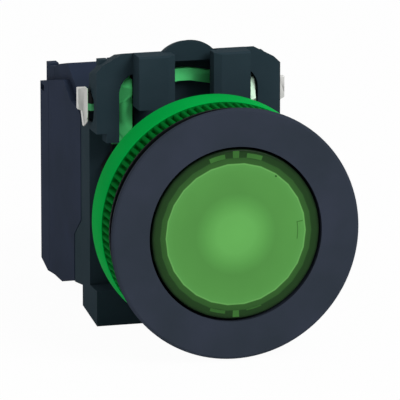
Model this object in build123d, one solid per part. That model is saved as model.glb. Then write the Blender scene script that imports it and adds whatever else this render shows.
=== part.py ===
from build123d import *
import math
import os

os.makedirs("parts", exist_ok=True)

# Illuminated push button for a round panel hole, with its fixing nut, mounting collar and three rear blocks.
# Millimetres. X is to the right, Y runs from the front to the back along the button axis, Z is up.
# The origin is on the button axis, at the rear face of the bezel, which is the face that meets the panel.

# Fits, and the margins of cutting and joined shapes
slide_clearance = 0.05
thread_clearance = 0.06
touch_play = 0.02
over = 1.0
bond = 0.1
small_bevel = 0.3

# Bezel and threaded barrel
barrel_diameter = 30.0
barrel_wall = 1.3
barrel_length = 19.5
barrel_end_bevel = 0.8
bezel_flange = 4.7
bezel_thickness = 2.6
bezel_edge = 0.45
bezel_edge_facet = 0.14
bezel_back_taper = 1.0
bezel_waist_y = -1.2
bezel_waist_inset = 0.25
neck_shoulder = 3.0
neck_wall = 1.2
neck_end_y = 31.0
neck_end_bevel = 0.4
ledge_y = 17.0
ledge_thickness = 1.6
keyway_width = 3.0
keyway_depth = 0.6
keyway_front_y = 0.6
lug_height = 1.2
lug_reach = 0.6
lug_length = 1.6

# Panel gasket, in a groove of the bezel's rear face
gasket_gap = 0.1
gasket_width = 2.2
gasket_groove_depth = 1.0
gasket_proud = 0.4

# Clamp nut and its keyed washer
panel_gap = 2.05
nut_wall = 3.9
nut_length = 10.1
nut_grip_length = 3.2
nut_groove_count = 96
nut_groove_depth = 0.45
nut_groove_share = 0.5
nut_rim_wall = 1.3
nut_rib_count = 6
nut_rib = 1.0
nut_web = 2.0
nut_front_bevel = 0.4
nut_bore_bevel = 0.5
washer_reach = 2.0
washer_thickness = 0.8
washer_stand = 0.1
washer_recess_gap = 0.15
tongue_play = 0.08

# Lens, diffuser and the sliding carrier behind them
lens_gap = 0.4
lens_setback = 0.4
lens_front_wall = 1.2
lens_skirt_wall = 1.0
lens_depth = 7.4
lens_edge = 0.35
diffuser_gap = 1.2
diffuser_thickness = 1.2
diffuser_rim_wall = 1.0
diffuser_rim_length = 2.0
layer_play = 0.05
carrier_flange_gap = 0.15
carrier_flange_thickness = 2.6
reflector_wall = 1.2
reflector_foot = 0.6
sleeve_gap = 1.65
sleeve_wall = 2.65
seal_depth = 1.2
seal_seat_depth = 1.0
seal_edge = 0.27
pusher_thickness = 2.0
pusher_front_y = 27.7
pusher_seat = 1.2

# Return spring of the button
spring_wire = 0.9
spring_coils = 4
spring_gap = 0.35
spring_seat_play = 0.03
wire_share = 0.9

# Mounting collar
collar_cheek = 2.9
collar_front_y = 24.2
collar_top_rise = 11.45
roof_fall = 0.229
roof_end_y = 30.0
roof_wall = 1.7
corner_inner_width = 4.4
corner_inner_drop = 1.75
corner_outer_width = 1.1
corner_outer_drop = 2.8
shoulder_x_inset = 1.5
step_width = 1.5
step_length = 1.6
step_top_z = 21.7
shoulder_y = 28.8
shoulder_z = 17.9
rear_top_z = 11.4
collar_wall = 1.6
pillar_front_y = 20.5
pillar_inner_x = 3.15
pillar_outer_x = 9.0
pillar_bottom_rise = 3.0
pillar_bevel_width = 1.15
pillar_bevel_depth = 0.35
window_half_width = 4.4
window_front_y = 23.2
window_top_z = 21.75
bump_height = 1.6
bump_radius = 5.6
bump_depth = 2.3
slot_inner_x = 8.4
slot_outer_x = 11.25
slot_lip = 1.0
slot_room_x = 12.6
slot_room_rise = 0.5
slot_top_z = 20.15
slot_arch_height = 3.3
recess_front_y = 28.7
recess_top_z = 10.8
recess_bottom_drop = 2.4
plate_bottom_z = 9.3
seam_upper_y = 33.85
seam_lower_y = 38.05
seam_upper_z = -5.2
seam_lower_z = -8.2
skirt_bottom_z = -16.1
skirt_rise = 0.6
foot_height = 5.7
foot_heel_rise = 1.3
foot_front_y = 24.4
foot_rear_y = 33.3
foot_wall = 1.6
foot_floor = 2.0
foot_roof = 1.4
collar_back_y = 33.4
passage_gap = 0.15
guide_gap = 0.12
notch_gap = 0.2

# Lock clip, a stamped steel stirrup that slides in the collar behind its front plate
clip_y = 27.0
clip_thickness = 1.0
clip_gap = 0.12
clip_side_gap = 0.15
clip_end_gap = 0.4
clip_travel = 1.5
clip_cheek_gap = 1.7
clip_peak_rise = 8.05
clip_crown = [(1.0, 0.05), (5.6, 0.95), (6.4, 0.1)]
clip_shoulder = [(3.6, 0.1), (0.8, 1.85), (0.0, 3.15)]
clip_waist = [(0.0, 13.0), (1.5, 11.8), (1.5, 7.2), (0.0, 5.0)]
clip_foot = 0.6
clip_foot_bevel = 1.0
clip_leg_inset = 3.9
clip_band = 2.0
clip_bottom_z = -7.0
neck_clip_gap = 0.15
strap_top_z = 15.9
strap_bottom_z = 13.9
tab_proud = 1.9
tab_top_z = 17.45
tab_step_z = 14.1
tab_bottom_z = 11.3
tab_wall_gap = 0.1
tab_bend_width = 0.8
tab_bend_depth = 1.3
tab_back_inset = 0.4
tab_tongue_rise = 1.3
tab_tongue_inset = 0.95
tab_nick_inset = 0.65
tab_nick_drop = 0.3

# Slot for the clip's tab in the collar's side wall, as (y, z) points
tab_slot = [
    (25.8, 14.7), (26.05, 16.0), (27.2, 16.6), (28.3, 16.8), (28.9, 16.2), (28.9, 12.1), (26.8, 12.1), (26.1, 13.2),
]

# Rear blocks, three side by side
block_overhang = 0.35
block_gap = 0.2
block_wall = 1.1
block_back_y = 59.5
block_joint_y = 54.2
ramp_foot_z = 11.8
ramp_knee = (3.4, 13.3)
block_crest = (46.0, 17.75)
block_plateau = [(51.0, 16.6), (54.1, 15.6)]
block_rear_z = 14.7
block_rear_bottom_z = -17.1
block_belly = [(55.3, -18.3), (51.0, -17.95), (46.0, -17.95), (39.1, -16.0)]
rebate_width = 1.05
rebate_top = [(35.8, 12.6), (40.0, 12.9), (44.6, 15.4)]
rebate_end_z = 12.2
cover_gap = 0.1
ear_inset = 1.05
ear_width = 1.55
ear_length = 2.0
ear_top_z = 15.35
wire_slot_y = 47.4
wire_slot_length = 3.8
wire_slot_inset = 0.525
wire_slot_floor_z = 12.0
seat_gap = 0.15
case_front_wall = 1.4
cavity_upper = [(9.6, 0.0), (14.2, 10.1)]
cavity_rear_z = 13.3
cavity_lower = [(54.3, -14.6), (45.5, -14.9), (39.65, -12.6), (39.65, -7.6)]
cavity_front_low_z = -4.6
cover_floor = 1.2
catch_depth = 0.8
catch_front_y = 57.1
catch_back_y = 59.2
catch_bottom_z = 10.9
catch_top_z = 11.9
cover_pocket_z = 6.4

# Contacts and terminals inside the blocks
plunger_tip_y = 29.95
plunger_width = 3.0
plunger_height = 4.0
plunger_bevel = 0.4
plunger_offset = 1.3
plunger_play = 0.08
stem_inset = 1.225
stem_height = 5.2
stem_tail = 2.2
peg_radius = 1.1
peg_length = 1.6
bridge_length = 12.8
bridge_width = 3.0
bridge_thickness = 0.7
bridge_corner = 0.8
bridge_play = 0.1
bridge_tip_inset = 1.5
bridge_spring_room = 3.7
over_travel_room = 4.6
contact_tip_diameter = 2.4
contact_tip_height = 0.5
contact_gap = 4.1
contact_touch = 0.03
strip_y = 46.4
strip_thickness = 0.9
strip_jog = 5.8
strip_inner_z = 3.7
strip_outer_z = 13.9
strip_bend_z = 7.6
strip_play = 0.05
terminal_z = 10.6
screw_shank = 3.0
screw_head = 5.2
screw_head_length = 2.4
screw_length = 7.6
screw_slot_width = 0.8
screw_slot_depth = 0.9
clamp_inset = 0.625
clamp_height = 5.4
clamp_thickness = 1.0
clamp_corner = 0.5
driver_hole = 5.6
contact_spring_wire = 0.5
contact_spring_radius = 1.75
contact_spring_coils = 5
bridge_spring_wire = 0.35
bridge_spring_radius = 1.0
bridge_spring_coils = 3

# Lamp and its board
lamp_radius = 4.0
lamp_hole_gap = 0.35
lamp_tip_y = 14.5
lamp_flange_inset = 0.125
lamp_flange_thickness = 1.4
board_thickness = 1.6
board_bottom_z = -4.5
board_top_z = 9.0
capacitor_radius = 2.2
capacitor_length = 5.0
capacitor_z = 5.0
rectifier_half_width = 2.6
rectifier_length = 2.2
rectifier_bottom_z = -3.6
rectifier_top_z = 0.6

# Radii that follow from the barrel
barrel_radius = barrel_diameter / 2
bezel_radius = barrel_radius + bezel_flange
opening_radius = barrel_radius - barrel_wall
neck_radius = barrel_radius - neck_shoulder
neck_bore_radius = neck_radius - neck_wall
sleeve_radius = neck_bore_radius - sleeve_gap
gasket_inner_radius = barrel_radius + gasket_gap
gasket_outer_radius = gasket_inner_radius + gasket_width
nut_radius = barrel_radius + nut_wall
nut_bore_radius = barrel_radius + thread_clearance
washer_radius = barrel_radius + washer_reach
lens_radius = opening_radius - lens_gap
lens_inner_radius = lens_radius - lens_skirt_wall
diffuser_radius = lens_inner_radius - diffuser_gap
flange_radius = opening_radius - carrier_flange_gap

# Depths that follow from the pieces in front
nut_front_y = panel_gap + washer_stand
nut_back_y = nut_front_y + nut_length
lens_front_y = -bezel_thickness + lens_setback
lens_back_y = lens_front_y + lens_depth
diffuser_y = lens_front_y + lens_front_wall + layer_play
diffuser_back_y = diffuser_y + diffuser_thickness + diffuser_rim_length
flange_back_y = lens_back_y + carrier_flange_thickness
seal_front_y = lens_back_y + (carrier_flange_thickness - seal_depth) / 2
pusher_back_y = pusher_front_y + pusher_thickness
clip_back_y = clip_y + clip_thickness
channel_front_y = clip_y - clip_gap
channel_back_y = clip_back_y + clip_gap
lug_front_y = clip_back_y + clip_gap
case_front_y = seam_upper_y + seat_gap
case_inner_y = case_front_y + case_front_wall

# Widths and heights of the collar and the blocks
half_width = neck_radius + collar_cheek
inner_x = half_width - collar_wall
collar_top_z = neck_radius + collar_top_rise
pillar_bottom_z = neck_radius + pillar_bottom_rise
recess_bottom_z = -neck_radius - recess_bottom_drop
collar_bottom_z = recess_bottom_z - foot_height
clip_half_width = half_width - clip_cheek_gap
clip_peak_z = neck_radius + clip_peak_rise
clip_leg_inner_x = neck_radius - clip_leg_inset
tab_reach = half_width + tab_proud
tab_bend_x = half_width + tab_wall_gap
block_pitch = (2 * half_width + block_overhang) / 3
block_half = (block_pitch - block_gap) / 2
cavity_half = block_half - block_wall


def facing_back(y):
    """A plane across the axis at depth y: its x is X and its y is Z."""
    return Plane(origin=(0, y, 0), x_dir=(1, 0, 0), z_dir=(0, -1, 0))


def side_plane(x):
    """A plane along the axis at sideways place x: its x is Y and its y is Z."""
    return Plane(origin=(x, 0, 0), x_dir=(0, 1, 0), z_dir=(1, 0, 0))


def turned(points):
    """A solid turned about the button axis from a closed outline of (radius, y) points."""
    outline = make_face(Plane.XY * Polyline(*points, close=True))
    return revolve(outline, Axis.Y)


def through(sketch, y_front, y_back):
    """A sketch in X and Z pushed back from y_front to y_back."""
    return extrude(facing_back(y_front) * sketch, amount=y_back - y_front, dir=(0, 1, 0))


def sloping(sketch, y_front, y_back):
    """A sketch in X and Z pushed back while it sinks at the slope of the collar's roof."""
    length = (y_back - y_front) * math.hypot(1.0, roof_fall)
    return extrude(facing_back(y_front) * sketch, amount=length, dir=(0, 1, -roof_fall))


def across(points, x_from, x_to):
    """A closed outline of (y, z) points pushed sideways from x_from to x_to."""
    outline = make_face(side_plane(x_from) * Polyline(*points, close=True))
    return extrude(outline, amount=x_to - x_from, dir=(1, 0, 0))


def box_between(x0, x1, y0, y1, z0, z1):
    """A block given by its limits along each axis."""
    return Pos((x0 + x1) / 2, (y0 + y1) / 2, (z0 + z1) / 2) * Box(x1 - x0, y1 - y0, z1 - z0)


def rod(x, z, radius, y0, y1):
    """A round bar along the button axis."""
    return through(Pos(x, z) * Circle(radius), y0, y1)


def mirrored_outline(right_half):
    """A closed outline of (x, z) points from its right-hand half, listed from the top down."""
    left_half = [(-x, z) for x, z in reversed(right_half)]
    return Polygon(*right_half, *left_half, align=None)


def both_sides(solid):
    """A shape on the right together with its mirror image on the left."""
    return solid + mirror(solid, Plane.YZ)


def coil(mean_radius, wire, turns, y0, y1, x=0.0):
    """A compression spring of square wire along Y between two seats."""
    pitch = (y1 - y0 - wire) / turns
    path = Helix(pitch=pitch, height=pitch * turns, radius=mean_radius)
    start = Plane(origin=path @ 0, z_dir=path % 0)
    section = Rectangle(wire * wire_share, wire * wire_share)
    wound = sweep(start * section, path=path, is_frenet=True)
    return Pos(x, y0 + wire / 2, 0) * Rot(-90, 0, 0) * wound


def write(node, solid):
    export_step(solid, os.path.join("parts", node + ".step"))


# The bezel: a thin round face, the threaded barrel behind it and the narrower neck that the collar grips
def make_bezel():
    ledge_back = ledge_y + ledge_thickness
    ledge_radius = sleeve_radius + slide_clearance
    body = turned([
        (opening_radius, -bezel_thickness),
        (bezel_radius - bezel_edge, -bezel_thickness),
        (bezel_radius - bezel_edge_facet, -bezel_thickness + bezel_edge_facet),
        (bezel_radius, -bezel_thickness + bezel_edge),
        (bezel_radius - bezel_waist_inset, bezel_waist_y),
        (bezel_radius - bezel_back_taper, 0),
        (barrel_radius, 0),
        (barrel_radius, barrel_length - barrel_end_bevel),
        (barrel_radius - barrel_end_bevel, barrel_length),
        (neck_radius, barrel_length),
        (neck_radius, neck_end_y - neck_end_bevel),
        (neck_radius - neck_end_bevel, neck_end_y),
        (neck_bore_radius, neck_end_y),
        (neck_bore_radius, ledge_back),
        (ledge_radius, ledge_back),
        (ledge_radius, ledge_y),
        (opening_radius, ledge_y),
    ])
    groove = Circle(gasket_outer_radius) - Circle(barrel_radius)
    body -= through(groove, -gasket_groove_depth, 0)
    keyway = box_between(-keyway_width / 2, keyway_width / 2, keyway_front_y, barrel_length + over,
                         barrel_radius - keyway_depth, barrel_radius + over)
    body -= keyway + mirror(keyway, Plane.XY)
    lug = box_between(neck_radius - bond, neck_radius + lug_reach, lug_front_y, lug_front_y + lug_length,
                      -lug_height / 2, lug_height / 2)
    # the lug starts inside the neck's round wall, so that it is joined over its whole height
    root = box_between(neck_radius - neck_wall / 2, neck_radius, lug_front_y, lug_front_y + lug_length,
                       -lug_height / 2, lug_height / 2)
    return body + both_sides(lug + root)


def make_gasket():
    ring = Circle(gasket_outer_radius - touch_play) - Circle(gasket_inner_radius + touch_play)
    return through(ring, -gasket_groove_depth, gasket_proud)


# The washer slides on the barrel without turning, because its two tongues run in the keyways
def make_washer():
    tongue_tip = barrel_radius - keyway_depth + tongue_play
    tongue_root = (barrel_radius + washer_radius) / 2
    tongue_width = keyway_width - 2 * slide_clearance
    ring = Circle(washer_radius) - Circle(nut_bore_radius)
    for side in (-1, 1):
        tongue = Rectangle(tongue_width, tongue_root - tongue_tip)
        ring += Pos(0, side * (tongue_tip + tongue_root) / 2) * tongue
    return through(ring, panel_gap, panel_gap + washer_thickness)


# The nut: a grooved grip ring in front, a smooth band behind, and cored pockets in its rear face
def make_nut():
    recess_radius = washer_radius + washer_recess_gap
    recess_y = panel_gap + washer_thickness + touch_play
    body = turned([
        (nut_bore_radius, recess_y),
        (recess_radius, recess_y),
        (recess_radius, nut_front_y),
        (nut_radius - nut_front_bevel, nut_front_y),
        (nut_radius, nut_front_y + nut_front_bevel),
        (nut_radius, nut_back_y - small_bevel),
        (nut_radius - small_bevel, nut_back_y),
        (nut_bore_radius + nut_bore_bevel, nut_back_y),
        (nut_bore_radius, nut_back_y - nut_bore_bevel),
    ])
    groove_width = 2 * math.pi * nut_radius / nut_groove_count * nut_groove_share
    groove = Rectangle(nut_groove_depth * 2, groove_width)
    grooves = Sketch() + PolarLocations(nut_radius, nut_groove_count) * groove
    body -= through(grooves, nut_front_y - bond, nut_front_y + nut_grip_length)
    pocket = Circle(nut_radius - nut_rim_wall) - Circle(nut_bore_radius + nut_rim_wall)
    pocket -= Sketch() + PolarLocations(0, nut_rib_count) * Rectangle(2 * nut_radius, nut_rib)
    pocket_y = nut_front_y + nut_grip_length + nut_web
    return body - through(pocket, pocket_y, nut_back_y + over)


# The lens is a clear green cup, open at the back
def make_lens():
    wall_y = lens_front_y + lens_front_wall
    return turned([
        (0, lens_front_y),
        (lens_radius - lens_edge, lens_front_y),
        (lens_radius, lens_front_y + lens_edge),
        (lens_radius, lens_back_y),
        (lens_inner_radius, lens_back_y),
        (lens_inner_radius, wall_y + small_bevel),
        (lens_inner_radius - small_bevel, wall_y),
        (0, wall_y),
    ])


def make_diffuser():
    rim_y = diffuser_y + diffuser_thickness
    disc = rod(0, 0, diffuser_radius, diffuser_y, rim_y)
    rim = Circle(diffuser_radius) - Circle(diffuser_radius - diffuser_rim_wall)
    return disc + through(rim, rim_y, diffuser_back_y)


# The carrier plugs into the lens and runs through the barrel's ledge, with a tapered bore for the lamp's light
def make_carrier():
    plug_radius = lens_inner_radius - slide_clearance
    plug_front_y = diffuser_back_y + layer_play
    seat_radius = flange_radius - seal_seat_depth
    pusher_bore = sleeve_radius - pusher_seat
    return turned([
        (plug_radius - reflector_wall, plug_front_y),
        (plug_radius, plug_front_y),
        (plug_radius, lens_back_y),
        (flange_radius, lens_back_y),
        (flange_radius, seal_front_y),
        (seat_radius, seal_front_y),
        (seat_radius, seal_front_y + seal_depth),
        (flange_radius, seal_front_y + seal_depth),
        (flange_radius, flange_back_y),
        (sleeve_radius, flange_back_y),
        (sleeve_radius, pusher_front_y),
        (pusher_bore, pusher_front_y),
        (pusher_bore, pusher_back_y),
        (sleeve_radius - sleeve_wall, pusher_back_y),
        (sleeve_radius - sleeve_wall, flange_back_y - reflector_foot),
    ])


def make_seal():
    outer = opening_radius - slide_clearance
    inner = flange_radius - seal_seat_depth + touch_play
    front = seal_front_y + touch_play
    back = seal_front_y + seal_depth - touch_play
    return turned([
        (inner, front),
        (outer - seal_edge, front),
        (outer, front + seal_edge),
        (outer, back - seal_edge),
        (outer - seal_edge, back),
        (inner, back),
    ])


def make_pusher():
    outer = neck_bore_radius - carrier_flange_gap
    inner = sleeve_radius - pusher_seat + touch_play
    return through(Circle(outer) - Circle(inner), pusher_front_y + touch_play, pusher_back_y)


def make_return_spring():
    mean_radius = sleeve_radius + spring_gap + spring_wire / 2
    return coil(mean_radius, spring_wire, spring_coils, flange_back_y + spring_seat_play, ledge_y - spring_seat_play)


# The collar: a moulded frame with a sloping roof, two front pillars, slots for the clip and a foot
def collar_section():
    return mirrored_outline([
        (half_width - corner_inner_width, collar_top_z),
        (half_width - corner_outer_width, collar_top_z - corner_inner_drop),
        (half_width, collar_top_z - corner_outer_drop),
        (half_width, collar_bottom_z - over),
    ])


def collar_profile():
    """The collar seen from the side, as (y, z) points."""
    rear_slope = (shoulder_z - rear_top_z) / (seam_upper_y - shoulder_y)
    return [
        (collar_front_y, recess_top_z),
        (collar_front_y, collar_top_z + over),
        (roof_end_y, collar_top_z + over),
        (roof_end_y, shoulder_z - rear_slope * (roof_end_y - shoulder_y)),
        (seam_upper_y, rear_top_z),
        (seam_upper_y, seam_upper_z),
        (seam_lower_y, seam_lower_z),
        (seam_lower_y, skirt_bottom_z),
        (foot_rear_y, skirt_bottom_z + skirt_rise),
        (foot_rear_y, collar_bottom_z + foot_heel_rise),
        (foot_front_y, collar_bottom_z),
        (foot_front_y, recess_bottom_z),
        (recess_front_y, recess_bottom_z),
        (recess_front_y, recess_top_z),
    ]


def shoulder_cut():
    """The side walls end a little in front of the roof and then slope down to the blocks."""
    outline = [
        (shoulder_y, collar_top_z + over),
        (shoulder_y, shoulder_z),
        (seam_upper_y, rear_top_z),
        (seam_upper_y, collar_top_z + over),
    ]
    return both_sides(across(outline, half_width - shoulder_x_inset, half_width + over))


def arched_slot():
    """A slot whose outer upper corner is a quarter of an ellipse, on the right-hand side."""
    width = slot_outer_x - slot_inner_x
    spring_z = slot_top_z - slot_arch_height
    straight = Polygon((slot_inner_x, recess_bottom_z), (slot_outer_x, recess_bottom_z),
                       (slot_outer_x, spring_z), (slot_inner_x, spring_z), align=None)
    ellipse = Pos(slot_inner_x, spring_z) * Ellipse(width, slot_arch_height)
    corner = Pos(slot_inner_x + width / 2, spring_z + slot_arch_height / 2) * Rectangle(width, slot_arch_height)
    return straight + (ellipse & corner)


def roof_bump():
    """The rounded swelling of the front plate over the window."""
    disc = Pos(0, collar_top_z + bump_height - bump_radius) * Circle(bump_radius)
    cap = Pos(0, collar_top_z) * Rectangle(2 * bump_radius, 2 * bump_height)
    return sloping(disc & cap, collar_front_y, collar_front_y + bump_depth)


def front_pillar():
    """The right-hand pillar in front of the plate, with a flat bevel towards the window."""
    plan = Plane.XY * Polyline(
        (pillar_inner_x, pillar_front_y + pillar_bevel_depth),
        (pillar_inner_x + pillar_bevel_width, pillar_front_y),
        (pillar_outer_x, pillar_front_y),
        (pillar_outer_x, collar_front_y + bond),
        (window_half_width, collar_front_y + bond),
        (window_half_width, window_front_y),
        (pillar_inner_x, window_front_y),
        close=True)
    post = Pos(0, 0, pillar_bottom_z) * extrude(make_face(plan), amount=collar_top_z - pillar_bottom_z, dir=(0, 0, 1))
    top_edge = post.edges().filter_by(Axis.X).group_by(Axis.Y)[0].sort_by(Axis.Z)[-1]
    return chamfer(top_edge, small_bevel)


def make_collar():
    solid = across(collar_profile(), -half_width, half_width)
    solid &= sloping(collar_section(), collar_front_y, seam_lower_y + over)
    solid -= shoulder_cut()
    step_outer_x = half_width - shoulder_x_inset
    solid += both_sides(box_between(step_outer_x - step_width, step_outer_x, roof_end_y - step_length, roof_end_y,
                                    shoulder_z, step_top_z))
    # between the side walls the front plate reaches lower than they do
    solid += box_between(-inner_x, inner_x, collar_front_y, channel_front_y, plate_bottom_z, recess_top_z + bond)
    # rooms behind the rear wall and in the foot
    solid -= box_between(-inner_x, inner_x, collar_back_y, seam_lower_y + over, collar_bottom_z - over, collar_top_z)
    solid -= box_between(-inner_x, inner_x, foot_front_y + foot_wall, foot_rear_y + over,
                         collar_bottom_z + foot_floor, recess_bottom_z - foot_roof)
    # clip channel and the slots for its tabs
    channel_x = clip_half_width + clip_side_gap
    channel_top_z = collar_top_z - roof_fall * (channel_back_y - collar_front_y) - roof_wall
    solid -= box_between(-channel_x, channel_x, channel_front_y, channel_back_y,
                         clip_bottom_z - clip_travel - clip_end_gap, channel_top_z)
    solid -= both_sides(across(tab_slot, channel_x - bond, half_width + over))
    # openings in the front plate
    solid -= box_between(-slot_outer_x, slot_outer_x, collar_front_y - over, channel_front_y,
                         recess_bottom_z, pillar_bottom_z)
    window = Polygon((-window_half_width, pillar_bottom_z - bond), (window_half_width, pillar_bottom_z - bond),
                     (window_half_width, window_top_z), (-window_half_width, window_top_z), align=None)
    slot = arched_slot()
    cuts = slot + mirror(slot, Plane.YZ) + window
    solid -= through(cuts, collar_front_y - over, channel_front_y)
    solid -= both_sides(box_between(slot_inner_x, slot_room_x, collar_front_y + slot_lip, channel_front_y + bond,
                                    plate_bottom_z - over, slot_top_z + slot_room_rise))
    solid += both_sides(front_pillar())
    solid += roof_bump()
    # round passage for the neck, with two side notches for its lugs
    lug_radius = neck_radius + lug_reach + passage_gap
    notch = Rectangle(2 * lug_radius, lug_height + 2 * notch_gap)
    solid -= through(Circle(lug_radius), clip_back_y, seam_lower_y + over)
    solid -= through(Circle(neck_radius + guide_gap) + notch, collar_front_y - over, clip_back_y + bond)
    return solid


# The clip: a flat steel stirrup whose legs stand in front of the neck's lugs, with a joggled tab at each side
def clip_outline():
    crown = [(x, clip_peak_z - drop) for x, drop in clip_crown]
    shoulder = [(clip_half_width - inset, clip_peak_z - drop) for inset, drop in clip_shoulder]
    waist = [(clip_half_width - inset, z) for inset, z in clip_waist]
    foot = [
        (clip_half_width, clip_bottom_z + clip_foot_bevel),
        (clip_half_width - clip_foot, clip_bottom_z),
    ]
    return mirrored_outline(crown + shoulder + waist + foot)


def clip_tab():
    """The right-hand tab: a strap through the side wall, bent back outside it into a finger lip."""
    root_x = clip_half_width - bond
    bend_end_x = tab_bend_x + tab_bend_width
    bend_end_y = clip_y + tab_bend_depth
    plan = Plane.XY * Polyline(
        (root_x, clip_y),
        (tab_bend_x, clip_y),
        (bend_end_x, bend_end_y),
        (tab_reach, bend_end_y),
        (tab_reach, bend_end_y + clip_thickness),
        (bend_end_x - tab_back_inset, bend_end_y + clip_thickness),
        (tab_bend_x - tab_back_inset, clip_back_y),
        (root_x, clip_back_y),
        close=True)
    sheet = Pos(0, 0, tab_bottom_z) * extrude(make_face(plan), amount=tab_top_z - tab_bottom_z, dir=(0, 0, 1))
    outside_x = half_width + small_bevel
    face = Polygon(
        (root_x, strap_bottom_z),
        (outside_x, strap_bottom_z),
        (outside_x, tab_bottom_z + tab_tongue_rise),
        (tab_reach - tab_tongue_inset, tab_bottom_z),
        (tab_reach - tab_nick_inset, tab_step_z - tab_nick_drop),
        (tab_reach, tab_step_z),
        (tab_reach, tab_top_z),
        (outside_x + tab_wall_gap, tab_top_z),
        (half_width - tab_wall_gap, strap_top_z),
        (root_x, strap_top_z), align=None)
    return sheet & through(face, clip_y - over, bend_end_y + clip_thickness + over)


def make_clip():
    sheet = through(clip_outline(), clip_y, clip_back_y)
    hole_radius = neck_radius + neck_clip_gap
    band_z = [(x, clip_peak_z - drop - clip_band) for x, drop in clip_crown[:2]]
    throat = mirrored_outline(band_z + [
        (clip_leg_inner_x, band_z[-1][1]),
        (clip_leg_inner_x, clip_bottom_z - over),
    ])
    middle = Pos(0, -clip_travel / 2) * Rectangle(2 * hole_radius, 3 * clip_travel)
    lug_notch = Rectangle(2 * (neck_radius + lug_reach + neck_clip_gap), lug_height + 2 * notch_gap)
    cut = Circle(hole_radius) + Pos(0, clip_travel) * Circle(hole_radius) + middle + throat
    cut += Pos(0, clip_travel) * lug_notch
    sheet -= through(cut, clip_y - over, clip_back_y + over)
    return sheet + both_sides(clip_tab())


# Outline of a rear block seen from the side: a ramp up to a crest, a falling plateau, then the rear tower
def block_outline():
    return [
        (case_front_y, seam_upper_z + bond),
        (case_front_y, ramp_foot_z),
        (case_front_y + ramp_knee[0], ramp_knee[1]),
        block_crest,
        *block_plateau,
        (block_back_y, block_rear_z),
        (block_back_y, block_rear_bottom_z),
        *block_belly,
        (seam_lower_y + seat_gap, block_belly[-1][1]),
        (seam_lower_y + seat_gap, seam_lower_z - bond),
    ]


def block_slice(x, y_from, y_to):
    """The part of a rear block between two depths."""
    body = across(block_outline(), x - block_half, x + block_half)
    height = block_crest[1] + over
    return body & box_between(x - block_half - over, x + block_half + over, y_from, y_to, -height - over, height)


def side_rebates(x):
    """The two upper edges of a block are stepped down along the ramp and the plateau."""
    top_z = block_crest[1] + over
    outline = [
        (rebate_top[0][0], top_z),
        *rebate_top,
        (block_back_y + bond, rebate_end_z),
        (block_back_y + bond, top_z),
    ]
    left = across(outline, x - block_half - bond, x - block_half + rebate_width)
    right = across(outline, x + block_half - rebate_width, x + block_half + bond)
    return left + right


def make_case(x, kind):
    """The case is a shell with a wall all round, open at the back, where the rear cover closes it."""
    body = block_slice(x, case_front_y - over, block_joint_y)
    cavity = [
        (case_inner_y, cavity_front_low_z),
        *[(case_inner_y + depth, z) for z, depth in cavity_upper],
        (block_joint_y + bond, cavity_rear_z),
        *cavity_lower,
    ]
    body -= across(cavity, x - cavity_half, x + cavity_half)
    body -= side_rebates(x)
    slot_half = cavity_half - wire_slot_inset
    for z0, z1 in ((wire_slot_floor_z, block_crest[1] + over), (-block_crest[1] - over, -wire_slot_floor_z)):
        body -= box_between(x - slot_half, x + slot_half, wire_slot_y, wire_slot_y + wire_slot_length, z0, z1)
    if kind == "contact":
        tip_half = plunger_width / 2 + plunger_play
        tip_height = plunger_height / 2 + plunger_play
        body -= box_between(plunger_x(x) - tip_half, plunger_x(x) + tip_half, case_front_y - over,
                            case_inner_y + over, -tip_height, tip_height)
    else:
        body -= rod(x, 0, lamp_radius + lamp_hole_gap, case_front_y - over, case_inner_y + over)
    return body


def make_cover(x):
    """The rear cover closes the case, guides the screwdriver to the screws and has an ear on top."""
    body = block_slice(x, block_joint_y + cover_gap, block_back_y + over)
    body -= box_between(x - cavity_half, x + cavity_half, block_joint_y, block_back_y - cover_floor,
                        -cover_pocket_z, cover_pocket_z)
    body -= side_rebates(x)
    for side in (-1, 1):
        body -= rod(x, side * terminal_z, driver_hole / 2, block_joint_y, block_back_y + over)
    for left_x in (x - block_half - bond, x + block_half - catch_depth):
        body -= box_between(left_x, left_x + catch_depth + bond, catch_front_y, catch_back_y,
                            catch_bottom_z, catch_top_z)
    ear_x = x - block_half + ear_inset
    body += box_between(ear_x, ear_x + ear_width, block_back_y - ear_length, block_back_y,
                        block_rear_z - over, ear_top_z)
    return body


def plunger_x(x):
    """The plunger's tip stands nearer the button axis than the middle of its block."""
    return x - math.copysign(plunger_offset, x)


# The plunger carries the moving bridge in a window across its stem
def contact_layout(closed_at_rest):
    """Depths of the bridge's front, the window, the bridge spring and the stem's end for each kind of contact."""
    if closed_at_rest:
        fixed_back = strip_y - strip_jog + strip_thickness
        bridge_front = fixed_back + 2 * contact_tip_height + contact_touch
        window = (bridge_front - layer_play, bridge_front + over_travel_room)
        spring = (bridge_front + bridge_thickness + touch_play, window[1] - layer_play)
    else:
        bridge_front = strip_y - 2 * contact_tip_height - contact_gap - bridge_thickness
        window = (bridge_front - bridge_spring_room, bridge_front + bridge_thickness + layer_play)
        spring = (window[0] + layer_play, bridge_front - touch_play)
    return bridge_front, window, spring, window[1] + stem_tail


def make_plunger(x, closed_at_rest):
    bridge_front, window, spring, stem_end = contact_layout(closed_at_rest)
    tip_x = plunger_x(x)
    stem_half = cavity_half - stem_inset
    shoulder = case_inner_y + seat_gap
    tip = box_between(tip_x - plunger_width / 2, tip_x + plunger_width / 2, plunger_tip_y, shoulder + over,
                      -plunger_height / 2, plunger_height / 2)
    tip = chamfer(tip.faces().sort_by(Axis.Y)[0].edges(), plunger_bevel)
    stem = box_between(x - stem_half, x + stem_half, shoulder, stem_end, -stem_height / 2, stem_height / 2)
    window_half = bridge_width / 2 + bridge_play
    stem -= box_between(x - window_half, x + window_half, window[0], window[1], -stem_height, stem_height)
    return tip + stem + rod(x, 0, peg_radius, stem_end - bond, stem_end + peg_length)


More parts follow.
